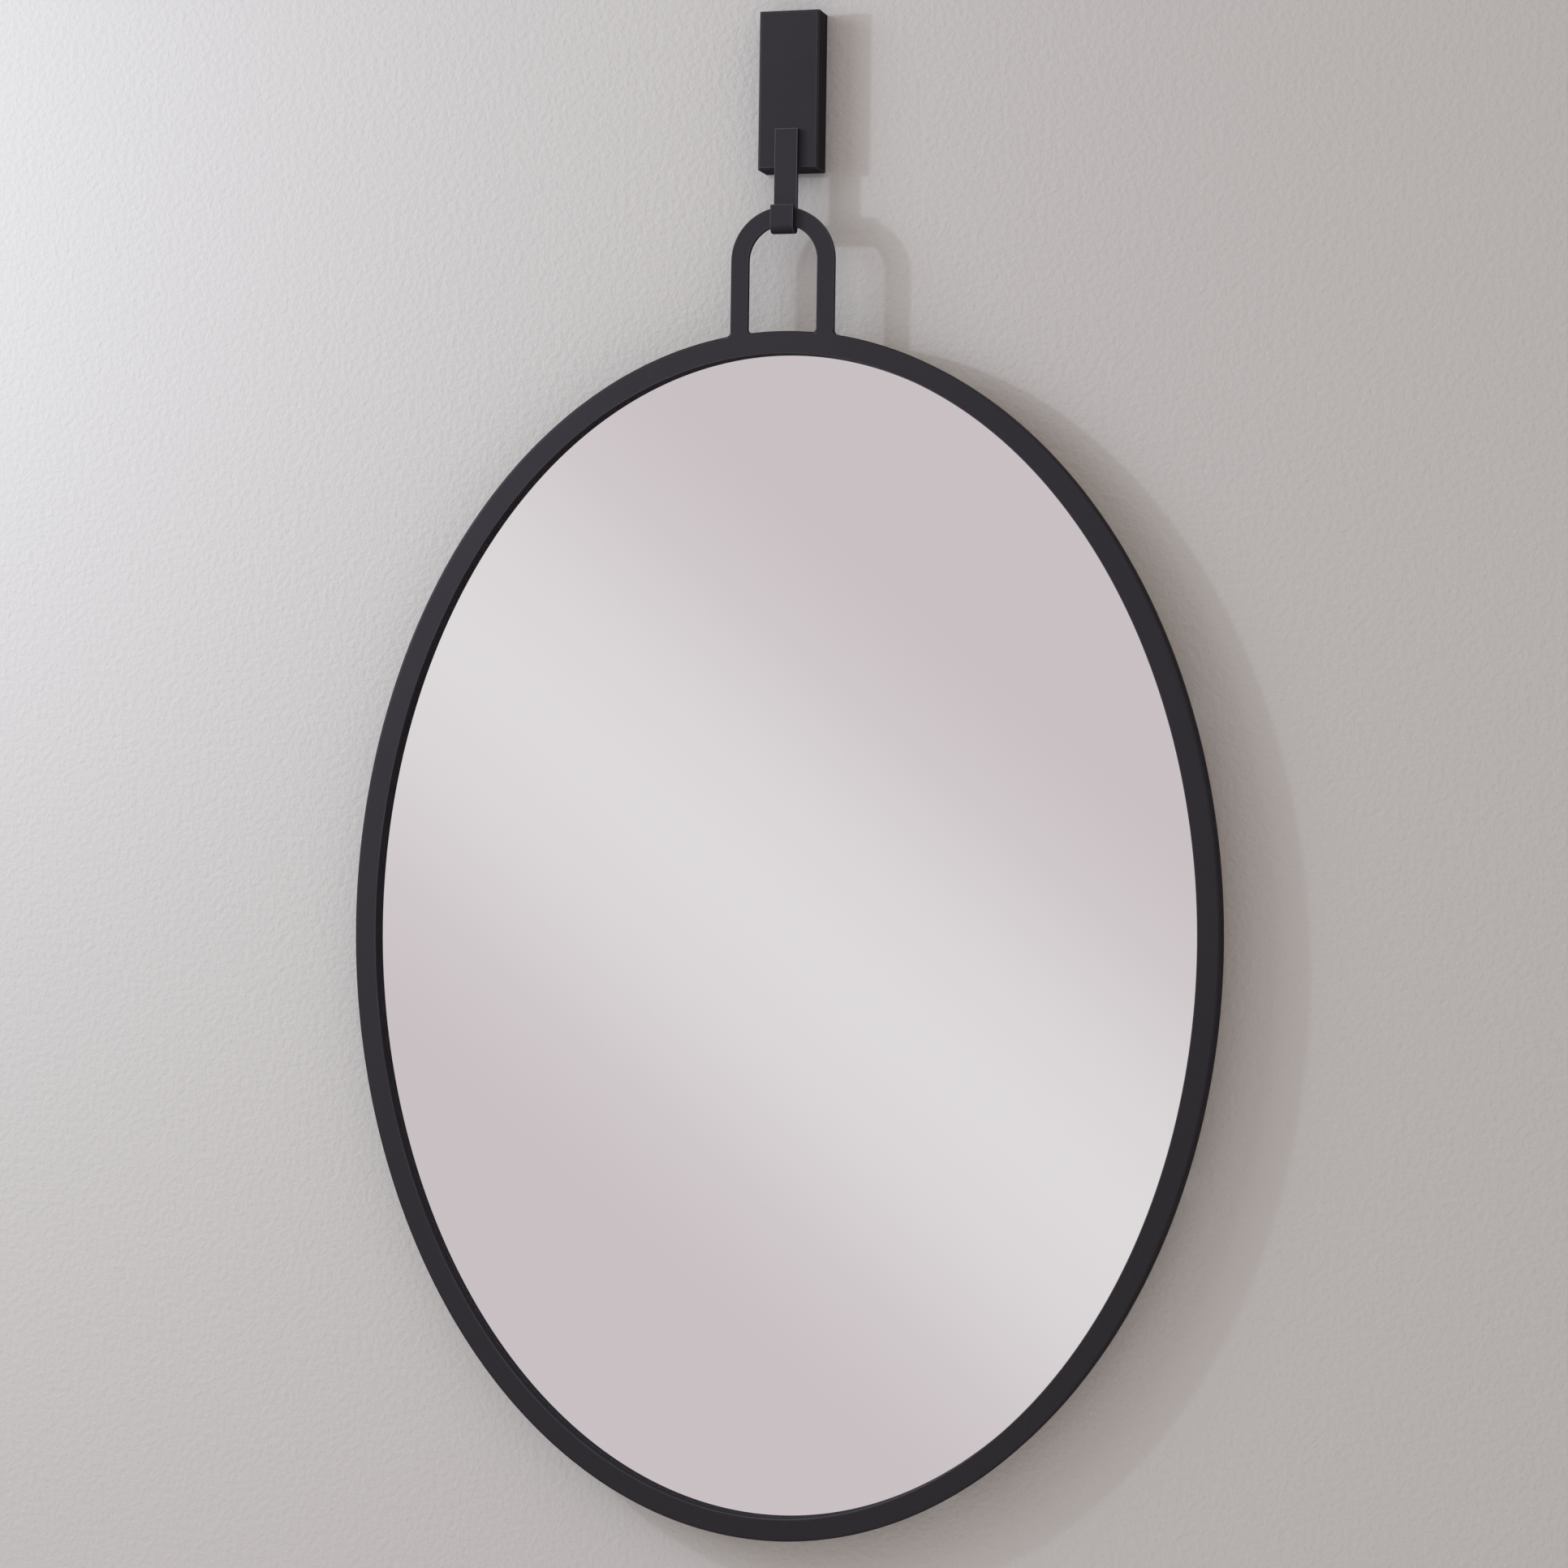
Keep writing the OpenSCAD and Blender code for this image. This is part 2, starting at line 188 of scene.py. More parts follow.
class BoardLook(PropertyGroup):
    """Brown backing board of pressed fibres"""

    colour: colour_prop("Colour", "Colour between the fibres", (0.30, 0.19, 0.105))
    fibre: colour_prop("Fibre", "Colour of the pale fibres", (0.42, 0.29, 0.17))
    fleck: colour_prop("Fleck", "Colour of the dark flecks", (0.13, 0.075, 0.04))
    cut: colour_prop("Sawn edge", "Colour of the sawn edge", (0.17, 0.10, 0.055))
    fibre_size: length_prop("Fibre size", "Width of a bundle of fibres", 0.0012)
    fibre_height: length_prop("Fibre height", "Height of the fibres", 0.00012)
    fibre_share: share_prop("Fibre share", "How much of their colour the fibres give", 0.7)
    fleck_size: length_prop("Fleck size", "Distance between the flecks", 0.003)
    fleck_share: share_prop("Fleck share", "How much of their colour the flecks give", 0.8)
    patch_size: length_prop("Patch size", "Size of the pale and dark patches", 0.09)
    patch_share: share_prop("Patch share", "How much of the fibres' colour a pale patch adds", 0.3)
    smooth: share_prop("Smooth", "Roughness between the fibres", 0.62)
    rough: share_prop("Rough", "Roughness on the fibres", 0.85)


class MetalLook(PropertyGroup):
    """Zinc plated sheet and screws, and blackened screws"""

    sheet: colour_prop("Sheet", "Colour of the zinc on sheet parts", (0.56, 0.57, 0.60))
    sheet_dark: colour_prop("Dark crystals", "Colour of the darker zinc crystals", (0.40, 0.41, 0.44))
    crystal_size: length_prop("Crystal size", "Size of the zinc crystals", 0.004)
    sheet_smooth: share_prop("Smooth sheet", "Roughness of the brightest crystals", 0.34)
    sheet_rough: share_prop("Rough sheet", "Roughness of the darkest crystals", 0.50)
    sheet_grain: length_prop("Sheet grain", "Size of the grain of the sheet", 0.0008)
    sheet_grain_height: length_prop("Sheet grain height", "Height of that grain", 0.00001)
    screw: colour_prop("Screws", "Colour of the plated screws", (0.62, 0.61, 0.58))
    screw_dull: colour_prop("Dull plating", "Colour of the plating in the dull patches", (0.44, 0.43, 0.40))
    screw_patch: length_prop("Screw patch", "Size of these patches", 0.003)
    screw_smooth: share_prop("Smooth screws", "Roughness of the bright plating", 0.26)
    screw_rough: share_prop("Rough screws", "Roughness of the dull plating", 0.42)
    screw_grain: length_prop("Screw grain", "Size of the grain of all screws", 0.0004)
    screw_grain_height: length_prop("Screw grain height", "Height of the grain of plated screws", 0.000008)
    black: colour_prop("Black screws", "Colour of the blackened screws", (0.030, 0.030, 0.034))
    black_worn: colour_prop("Worn black", "Colour of their worn edges", (0.12, 0.12, 0.12))
    black_metal: share_prop("Black metal", "How metallic the blackened screws are", 0.8)
    black_smooth: share_prop("Smooth black", "Roughness between their grains", 0.32)
    black_rough: share_prop("Rough black", "Roughness on their grains", 0.45)
    black_grain_height: length_prop("Black grain height", "Height of their grain", 0.00001)
    edge_width: length_prop("Edge width", "Width of the bright edges", 0.00025)


class PaddingLook(PropertyGroup):
    """Rubber bumpers and setting blocks, and foam tape"""

    rubber: colour_prop("Rubber", "Colour of the rubber", (0.022, 0.022, 0.023))
    rubber_dusty: colour_prop("Dusty rubber", "Colour of the rubber where dust sticks",
                              (0.075, 0.073, 0.070))
    rubber_smooth: share_prop("Smooth rubber", "Roughness of the clean rubber", 0.55)
    rubber_rough: share_prop("Rough rubber", "Roughness of the dusty rubber", 0.75)
    rubber_grain: length_prop("Rubber grain", "Size of the grain of the rubber", 0.0006)
    rubber_grain_height: length_prop("Rubber grain height", "Height of that grain", 0.00003)
    dust_patch: length_prop("Dust patch", "Size of the dusty patches", 0.008)
    dust_share: share_prop("Dust share", "How much of its colour the dust gives", 0.6)
    foam: colour_prop("Foam", "Colour of the foam tape", (0.050, 0.050, 0.052))
    # Painted shade in the foam cells and painted light on the rims between them
    foam_cell_shade: share_prop("Dark foam", "Brightness of the foam in its cells", 0.6)
    foam_rim_light: FloatProperty(name="Pale foam", description="Brightness of the foam between its cells",
                             min=1, default=1.4)
    foam_roughness: share_prop("Foam roughness", "Roughness of the foam", 0.9)
    foam_cell: length_prop("Foam cell", "Size of the cells of the foam", 0.0004)
    foam_depth: length_prop("Foam depth", "Depth of the cells", 0.0001)


class RoundingLook(PropertyGroup):
    """Radius of the rounded edges of the solids"""

    bar: length_prop("Bars", "Edges of loop and strap", 0.0005)
    box: length_prop("Box", "Edges of the bracket box", 0.0005)
    sheet: length_prop("Sheet", "Edges of plates, clips and washers", 0.00015)
    screw: length_prop("Screws", "Edges of the screws", 0.0001)
    board: length_prop("Board", "Edges of glass and board", 0.0003)
    soft: length_prop("Padding", "Edges of rubber and foam", 0.00015)


class StageLook(PropertyGroup):
    """Plain wall and floor"""

    wall: colour_prop("Wall", "Colour of the wall", (0.80, 0.785, 0.785))
    wall_size: length_prop("Wall size", "Width and height of the wall", 6.0)
    wall_gap: length_prop("Wall gap", "Gap between the wall and the backs of plate and bumpers", 0.0003)
    grain: length_prop("Grain", "Size of the grain of the paint on wall and floor", 0.0045)
    grain_height: length_prop("Grain height", "Height of that grain", 0.0008)
    roughness: share_prop("Roughness", "Roughness of the paint", 0.8)
    gloss: share_prop("Gloss", "Specular level of the paint", 0.2)
    floor: colour_prop("Floor", "Colour of the floor", (0.80, 0.79, 0.78))
    floor_height: FloatProperty(name="Floor height", description="Height of the floor in the part's frame",
                                unit="LENGTH", default=-1.95)
    floor_size: length_prop("Floor size", "Width and depth of the floor", 32.0)
    floor_front: length_prop("Floor front", "How far the floor reaches into the room", 4.0)


class RoomLook(PropertyGroup):
    """Pale room in front of the mirror, as the glass and the coat show it"""

    backdrop: colour_prop("Backdrop", "Colour behind floor and wall", (0.60, 0.59, 0.585))
    stripe: colour_prop("Stripe", "Light of the soft stripe across the room", (0.809, 0.774, 0.786))
    shade: colour_prop("Shade", "Light of the room on both sides of the stripe", (0.650, 0.584, 0.608))
    stripe_place: place_prop("Stripe place", "Direction from the mirror to the middle of the stripe",
                             (-0.280, -1.0, -0.0455))
    stripe_slope: angle_prop("Stripe slope", "Angle of the stripe below the horizon", 38.7)
    stripe_half: share_prop("Stripe half width", "Sine of the angle from the stripe to the shade", 0.098)
    high: colour_prop("High part", "Light of the high part of the room", (0.94, 0.96, 1.0))
    high_start: share_prop("High start", "Sine of the angle above the horizon at which it brightens", 0.13)
    high_end: share_prop("High end", "Sine of the angle above the horizon at which it is bright", 0.30)
    low: colour_prop("Low part", "Light of the low part of the room", (0.34, 0.315, 0.315))
    low_start: share_prop("Low start", "Sine of the angle below the horizon at which it darkens", 0.21)
    low_end: share_prop("Low end", "Sine of the angle below the horizon at which it is dark", 0.35)
    left: colour_prop("Left part", "Light of the left part of the room", (0.90, 0.94, 1.0))
    left_start: share_prop("Left start", "Sine of the angle to the left at which the room brightens", 0.42)
    left_end: share_prop("Left end", "Sine of the angle to the left at which it is bright", 0.60)
    right: colour_prop("Right part", "Light of the right part of the room", (0.25, 0.23, 0.23))
    right_start: FloatProperty(name="Right start", min=-1, max=1, default=-0.12,
                               description="Sine of the angle to the right at which the room darkens")
    right_end: share_prop("Right end", "Sine of the angle to the right at which it is dark", 0.25)


class LampLook(PropertyGroup):
    """Key lamp and window light on the left, a lamp behind the wall, and even light from all round"""

    aim: place_prop("Aim", "Point that the three lamps face", (0.0, 0.0, -0.45))
    key_place: place_prop("Key place", "Middle of the key lamp", (-1.10, -0.79, 0.05))
    key_size: length_prop("Key size", "Width of the key lamp", 0.05)
    key_power: power_prop("Key power", "Power of the key lamp", 3.3)
    key_colour: colour_prop("Key colour", "Colour of the key lamp", (0.84, 0.92, 1.0))
    window_place: place_prop("Window place", "Middle of the window light", (-1.35, -0.95, 0.15))
    window_size: length_prop("Window size", "Width of the window light", 1.0)
    window_power: power_prop("Window power", "Power of the window light", 8.1)
    window_colour: colour_prop("Window colour", "Colour of the window light", (0.84, 0.92, 1.0))
    rear_place: place_prop("Rear place", "Middle of the lamp behind the wall", (-0.9, 2.4, 0.8))
    rear_size: length_prop("Rear size", "Width of the rear lamp", 1.6)
    rear_power: power_prop("Rear power", "Power of the rear lamp", 36.0)
    rear_colour: colour_prop("Rear colour", "Colour of the rear lamp", (0.97, 0.985, 1.0))
    even_colour: colour_prop("Even colour", "Colour of the even light", (1.0, 0.909, 0.860))
    even_strength: FloatProperty(name="Even strength", min=0, default=0.585,
                                 description="Strength of the even light where it is strongest")
    even_from: place_prop("Even from", "Direction from which the even light is strongest",
                          (0.0, -0.72, 0.69))
    even_least: share_prop("Even least", "Share of that strength from the far side", 0.30)
    even_spread: FloatProperty(name="Even spread", min=-1, max=1, default=-0.3,
                               description="Cosine of the angle at which the light is down to its least")


class CameraLook(PropertyGroup):
    """Camera at the viewing angle of the picture"""

    place: place_prop("Place", "Where the camera stands", (0.6548, -2.3662, -0.4579))
    heading: angle_prop("Heading", "How far the camera turns to the left of the wall's normal", 15.52)
    tilt: angle_prop("Tilt", "How far the camera looks up", -0.35)
    roll: angle_prop("Roll", "How far the camera leans to the left", 0.80)
    focal_length: FloatProperty(name="Focal length", description="Focal length in millimetres", min=1,
                                default=81.99)


class MirrorLook(PropertyGroup):
    """Everything about the look of the mirror that a user would change"""

    coat: PointerProperty(type=CoatLook)
    band: PointerProperty(type=BandShape)
    loop: PointerProperty(type=LoopShape)
    glass: PointerProperty(type=GlassLook)
    board: PointerProperty(type=BoardLook)
    metal: PointerProperty(type=MetalLook)
    padding: PointerProperty(type=PaddingLook)
    rounding: PointerProperty(type=RoundingLook)
    stage: PointerProperty(type=StageLook)
    room: PointerProperty(type=RoomLook)
    lamps: PointerProperty(type=LampLook)
    camera: PointerProperty(type=CameraLook)


def rgba(colour, strength=1.0):
    """Colour of a property, times a strength, as the four numbers of a node socket"""
    return (*(strength * channel for channel in colour), 1.0)


def plug(tree, socket, value):
    """Links an input socket to an output socket, or sets it to a plain value"""
    if isinstance(value, bpy.types.NodeSocket):
        tree.links.new(value, socket)
    else:
        socket.default_value = value


def add_node(tree, kind, sockets=None, **settings):
    """Adds a node with its settings, and plugs its input sockets, which are named or numbered"""
    made = tree.nodes.new(kind)
    for name, value in settings.items():
        setattr(made, name, value)
    for name, value in (sockets or {}).items():
        plug(tree, made.inputs[name], value)
    return made


def maths(tree, operation, *values):
    """Result of a Math node"""
    return add_node(tree, "ShaderNodeMath", dict(enumerate(values)), operation=operation).outputs[0]


def mix_colours(tree, factor, first, second):
    """Result of a Mix node for colours, whose factor and colours are sockets 0, 6 and 7"""
    return add_node(tree, "ShaderNodeMix", {0: factor, 6: first, 7: second}, data_type="RGBA").outputs[2]


def remap(tree, value, span, result=(0, 1), smooth=False):
    """Result of a Map Range node, from the two ends of a span to the two of the result"""
    return add_node(tree, "ShaderNodeMapRange",
                    {"Value": value, "From Min": span[0], "From Max": span[1],
                     "To Min": result[0], "To Max": result[1]},
                    interpolation_type="SMOOTHSTEP" if smooth else "LINEAR").outputs["Result"]


def spread(tree, mask, low, high):
    """Value that goes from low to high with a mask"""
    return remap(tree, mask, (0, 1), (low, high))


def effect_group(name, inputs, outputs):
    """Empty shader node group with number inputs {name: default} and outputs {name: socket type}"""
    tree = bpy.data.node_groups.new(name, "ShaderNodeTree")
    for socket_name, default in inputs.items():
        socket = tree.interface.new_socket(socket_name, in_out="INPUT", socket_type="NodeSocketFloat")
        socket.default_value = default
    for socket_name, kind in outputs.items():
        tree.interface.new_socket(socket_name, in_out="OUTPUT", socket_type=kind)
    return tree, tree.nodes.new("NodeGroupInput").outputs, tree.nodes.new("NodeGroupOutput").inputs


def grain_group():
    """Fine grain on a surface: a mask of the grains, and the normal that they give"""
    if "Surface grain" in bpy.data.node_groups:
        return bpy.data.node_groups["Surface grain"]
    tree, given, result = effect_group("Surface grain", {"Size": 0.001, "Height": 0.00003},
                                       {"Grain": "NodeSocketFloat", "Normal": "NodeSocketVector"})
    place = add_node(tree, "ShaderNodeTexCoord").outputs["Object"]
    noise = add_node(tree, "ShaderNodeTexNoise",
                     {"Vector": place, "Scale": maths(tree, "DIVIDE", 1.0, given["Size"]),
                      "Detail": 2.0, "Roughness": 0.55}).outputs["Fac"]
    bump = add_node(tree, "ShaderNodeBump", {"Height": noise, "Distance": given["Height"]})
    tree.links.new(noise, result["Grain"])
    tree.links.new(bump.outputs["Normal"], result["Normal"])
    return tree


def patches_group():
    """Slow change over a surface, as a mask from 0 to 1"""
    if "Slow patches" in bpy.data.node_groups:
        return bpy.data.node_groups["Slow patches"]
    tree, given, result = effect_group("Slow patches", {"Size": 0.08}, {"Mask": "NodeSocketFloat"})
    place = add_node(tree, "ShaderNodeTexCoord").outputs["Object"]
    noise = add_node(tree, "ShaderNodeTexNoise",
                     {"Vector": place, "Scale": maths(tree, "DIVIDE", 1.0, given["Size"]),
                      "Detail": 4.0, "Roughness": 0.6}).outputs["Fac"]
    tree.links.new(remap(tree, noise, PATCH_NOISE, smooth=True), result["Mask"])
    return tree


def edges_group():
    """Mask of the outer edges of a piece, within a width of them"""
    if "Outer edges" in bpy.data.node_groups:
        return bpy.data.node_groups["Outer edges"]
    tree, given, result = effect_group("Outer edges", {"Width": 0.0005}, {"Mask": "NodeSocketFloat"})
    rounded = add_node(tree, "ShaderNodeBevel", {"Radius": given["Width"]}, samples=6).outputs["Normal"]
    plain = add_node(tree, "ShaderNodeNewGeometry").outputs["Normal"]
    alike = add_node(tree, "ShaderNodeVectorMath", {0: rounded, 1: plain}, operation="DOT_PRODUCT")
    tree.links.new(remap(tree, alike.outputs["Value"], EDGE_COSINES), result["Mask"])
    return tree


def place_group(tree, group, **values):
    """Places a node group in a material with its own values, and returns its outputs"""
    return add_node(tree, "ShaderNodeGroup", {name.title(): value for name, value in values.items()},
                    node_tree=group).outputs


def new_material(name):
    """Node material with one Principled shader"""
    material = bpy.data.materials.new(name)
    material.use_nodes = True
    return material, material.node_tree, material.node_tree.nodes["Principled BSDF"]


def feed(tree, shader, **sockets):
    """Plugs the sockets of a shader, named in lower case with underscores"""
    for name, value in sockets.items():
        plug(tree, shader.inputs[name.replace("_", " ").title().replace("Ior", "IOR")], value)


def coat_material(look):
    """Satin black powder coat: fine grain, dull patches, lighter along the edges, partly a thinner coat and
    partly a painted highlight
    """
    if "powder_coat" in bpy.data.materials:
        return bpy.data.materials["powder_coat"]
    material, tree, shader = new_material("powder_coat")
    grain = place_group(tree, grain_group(), size=look.grain_size, height=look.grain_height)
    patches = place_group(tree, patches_group(), size=look.patch_size)["Mask"]
    edges = place_group(tree, edges_group(), width=look.edge_width)["Mask"]
    # Lighter edges: partly a thinner coat, partly a painted highlight where the rounded edges would catch the
    # light
    thin = maths(tree, "MULTIPLY", edges, spread(tree, patches, look.edge_least, look.edge_most))
    specks = remap(tree, grain["Grain"], SPECK_NOISE, (0, look.specks))
    share = maths(tree, "MAXIMUM", thin, specks)
    # A rough coat doesn't brighten at a grazing angle, and only the metallic gloss can be held down there
    feed(tree, shader, base_color=mix_colours(tree, share, rgba(look.colour), rgba(look.thin_coat_and_highlight_colour)),
         roughness=spread(tree, patches, look.roughness, look.roughness + look.roughness_spread),
         normal=grain["Normal"], metallic=look.gloss, specular_ior_level=0.0,
         specular_tint=rgba([look.edge_gloss] * 3))
    return material


def mirror_face_material(look):
    """Silvered face of the glass, a little hazy where it was wiped"""
    material, tree, shader = new_material("mirror_face")
    patches = place_group(tree, patches_group(), size=look.wipe_size)["Mask"]
    feed(tree, shader, base_color=rgba(look.silver), metallic=1.0,
         roughness=spread(tree, patches, look.haze, look.wiped_haze))
    return material


def glass_edge_material(look):
    """Ground edge of the glass, green and dull"""
    material, tree, shader = new_material("glass_edge")
    grain = place_group(tree, grain_group(), size=look.edge_grain, height=look.edge_grain_height)
    colour = mix_colours(tree, remap(tree, grain["Grain"], GROUND_NOISE), rgba(look.edge),
                         rgba(look.edge, look.edge_pale))
    feed(tree, shader, base_color=colour, roughness=look.edge_roughness, normal=grain["Normal"])
    return material


def mirror_back_material(look):
    """Grey paint over the silver on the back of the glass"""
    material, tree, shader = new_material("mirror_back_paint")
    grain = place_group(tree, grain_group(), size=look.paint_grain, height=look.paint_grain_height)
    patches = place_group(tree, patches_group(), size=look.paint_patch)["Mask"]
    colour = mix_colours(tree, patches, rgba(look.paint), rgba(look.paint, look.paint_dark))
    feed(tree, shader, base_color=colour, roughness=look.paint_roughness, normal=grain["Normal"])
    return material


def board_material(look):
    """Pressed fibre board with flecks, and a darker sawn edge"""
    material, tree, shader = new_material("fibre_board")
    where = add_node(tree, "ShaderNodeTexCoord").outputs
    fibres = add_node(tree, "ShaderNodeTexNoise",
                      {"Vector": where["Object"], "Scale": 1 / look.fibre_size, "Detail": 3.0,
                       "Distortion": 1.6}).outputs["Fac"]
    flecks = add_node(tree, "ShaderNodeTexNoise",
                      {"Vector": where["Object"], "Scale": 1 / look.fleck_size, "Detail": 2.0,
                       "Distortion": 2.5}).outputs["Fac"]
    patches = place_group(tree, patches_group(), size=look.patch_size)["Mask"]
    pale = maths(tree, "ADD", remap(tree, fibres, FIBRE_NOISE, (0, look.fibre_share)),
                 maths(tree, "MULTIPLY", patches, look.patch_share))
    face = mix_colours(tree, pale, rgba(look.colour), rgba(look.fibre))
    fleck = remap(tree, flecks, FLECK_NOISE, (0, look.fleck_share))
    face = mix_colours(tree, fleck, face, rgba(look.fleck))
    across = maths(tree, "ABSOLUTE", add_node(tree, "ShaderNodeSeparateXYZ",
                                              {0: where["Normal"]}).outputs["Y"])
    colour = mix_colours(tree, remap(tree, across, BOARD_COSINES), rgba(look.cut), face)
    bump = add_node(tree, "ShaderNodeBump", {"Height": fibres, "Distance": look.fibre_height})
    feed(tree, shader, base_color=colour, normal=bump.outputs["Normal"],
         roughness=remap(tree, fibres, WHOLE_NOISE, (look.smooth, look.rough)))
    return material


def zinc_sheet_material(look):
    """Zinc plated sheet steel with faint crystals and brighter edges"""
    material, tree, shader = new_material("zinc_sheet")
    place = add_node(tree, "ShaderNodeTexCoord").outputs["Object"]
    crystals = add_node(tree, "ShaderNodeTexVoronoi", {"Vector": place, "Scale": 1 / look.crystal_size})
    tone = add_node(tree, "ShaderNodeSeparateColor", {0: crystals.outputs["Color"]}).outputs[0]
    grain = place_group(tree, grain_group(), size=look.sheet_grain, height=look.sheet_grain_height)
    edges = place_group(tree, edges_group(), width=look.edge_width)["Mask"]
    shade = maths(tree, "MULTIPLY", tone, maths(tree, "SUBTRACT", 1.0, edges))
    feed(tree, shader, base_color=mix_colours(tree, shade, rgba(look.sheet), rgba(look.sheet_dark)),
         metallic=1.0, roughness=spread(tree, tone, look.sheet_smooth, look.sheet_rough),
         normal=grain["Normal"])
    return material


def plated_screw_material(look):
    """Plated screws, duller in patches"""
    material, tree, shader = new_material("plated_screw")
    grain = place_group(tree, grain_group(), size=look.screw_grain, height=look.screw_grain_height)
    patches = place_group(tree, patches_group(), size=look.screw_patch)["Mask"]
    feed(tree, shader, base_color=mix_colours(tree, patches, rgba(look.screw), rgba(look.screw_dull)),
         metallic=1.0, roughness=spread(tree, patches, look.screw_smooth, look.screw_rough),
         normal=grain["Normal"])
    return material


def black_screw_material(look):
    """Blackened screws, worn bright along the edges of the socket"""
    material, tree, shader = new_material("black_screw")
    grain = place_group(tree, grain_group(), size=look.screw_grain, height=look.black_grain_height)
    edges = place_group(tree, edges_group(), width=look.edge_width)["Mask"]
    worn = maths(tree, "MULTIPLY", edges, remap(tree, grain["Grain"], WORN_NOISE))
    feed(tree, shader, base_color=mix_colours(tree, worn, rgba(look.black), rgba(look.black_worn)),
         metallic=look.black_metal, normal=grain["Normal"],
         roughness=remap(tree, grain["Grain"], WHOLE_NOISE, (look.black_smooth, look.black_rough)))
    return material


def rubber_material(look):
    """Moulded rubber with a fine grain and a little dust"""
    material, tree, shader = new_material("rubber")
    grain = place_group(tree, grain_group(), size=look.rubber_grain, height=look.rubber_grain_height)
    patches = place_group(tree, patches_group(), size=look.dust_patch)["Mask"]
    dust = maths(tree, "MULTIPLY", patches, remap(tree, grain["Grain"], DUST_NOISE, (0, look.dust_share)))
    feed(tree, shader, base_color=mix_colours(tree, dust, rgba(look.rubber), rgba(look.rubber_dusty)),
         roughness=spread(tree, patches, look.rubber_smooth, look.rubber_rough), normal=grain["Normal"])
    return material


def foam_material(look):
    """Closed-cell foam tape, with painted shade in its cells and painted light on the rims between them"""
    material, tree, shader = new_material("foam_tape")
    place = add_node(tree, "ShaderNodeTexCoord").outputs["Object"]
    cells = add_node(tree, "ShaderNodeTexVoronoi", {"Vector": place, "Scale": 1 / look.foam_cell})
    depth = remap(tree, cells.outputs["Distance"], CELL_DEPTHS)
    bump = add_node(tree, "ShaderNodeBump", {"Height": depth, "Distance": look.foam_depth})
    # Painted shade: darker in the cell hollows, lighter on the rims, following the depth of the bump
    colour = mix_colours(tree, depth, rgba(look.foam, look.foam_cell_shade), rgba(look.foam, look.foam_rim_light))
    feed(tree, shader, base_color=colour, roughness=look.foam_roughness, normal=bump.outputs["Normal"])
    return material


def round_edges(piece, width):
    """Welds the seams of an imported mesh, rounds its sharp edges and shades it smoothly"""
    mesh = piece.data
    for name in ("custom_normal", "sharp_edge"):
        if name in mesh.attributes:
            mesh.attributes.remove(mesh.attributes[name])
    mesh.shade_smooth()
    weld = piece.modifiers.new("weld_seams", "WELD")
    weld.merge_threshold = WELD_GAP
    flat = piece.modifiers.new("join_flat_faces", "DECIMATE")
    flat.decimate_type = "DISSOLVE"
    flat.angle_limit = FLAT_ANGLE
    bevel = piece.modifiers.new("round_edges", "BEVEL")
    bevel.width = width
    bevel.segments = ROUNDING_SEGMENTS
    bevel.limit_method = "ANGLE"
    bevel.angle_limit = SHARP_ANGLE
    bevel.harden_normals = True


def dress(names, material, rounding):
    """Gives CAD nodes a material and rounded edges"""
    for name in names:
        NODES[name].data.materials[0] = material
        round_edges(NODES[name], rounding)


def mesh_object(name, points, faces, material):
    """New smooth mesh object in the scene"""
    mesh = bpy.data.meshes.new(name)
    mesh.from_pydata(points, [], faces)
    mesh.validate()
    mesh.shade_smooth()
    mesh.materials.append(material)
    made = bpy.data.objects.new(name, mesh)
    bpy.context.scene.collection.objects.link(made)
    return made


def rounded_section(corners):
    """Points round a section with square corners, each given as (inset, depth, radius, steps)"""
    points = []
    for number, (inset, depth, radius, steps) in enumerate(corners):
        corner = Vector((inset, depth))
        before = Vector(corners[number - 1][:2])
        after = Vector(corners[(number + 1) % len(corners)][:2])
        back, on = (before - corner).normalized(), (after - corner).normalized()
        for step in range(steps + 1):
            turn = math.radians(90) * step / steps
            points.append(corner + radius * ((1 - math.sin(turn)) * back + (1 - math.cos(turn)) * on))
    return points


def oval_point(angle, inset, radii):
    """Point of the oval at an angle, moved inwards square to the edge"""
    outward = Vector((math.cos(angle) / radii[0], math.sin(angle) / radii[1])).normalized()
    return Vector((radii[0] * math.cos(angle), radii[1] * math.sin(angle))) - inset * outward


def skin(name, rows, ring, material):
    """Closed smooth mesh through rows of points round a section, as a ring or with two closed ends"""
    size = len(rows[0])
    faces = []
    for step in range(len(rows) if ring else len(rows) - 1):
        here, there = step * size, (step + 1) % len(rows) * size
        for number in range(size):
            following = (number + 1) % size
            faces.append((here + number, here + following, there + following, there + number))
    if not ring:
        faces += [range(size), range(len(rows) * size - size, len(rows) * size)]
    made = mesh_object(name, [point for row in rows for point in row], faces, material)
    shell = bmesh.new()
    shell.from_mesh(made.data)
    bmesh.ops.recalc_face_normals(shell, faces=shell.faces)
    shell.to_mesh(made.data)
    shell.free()
    return made


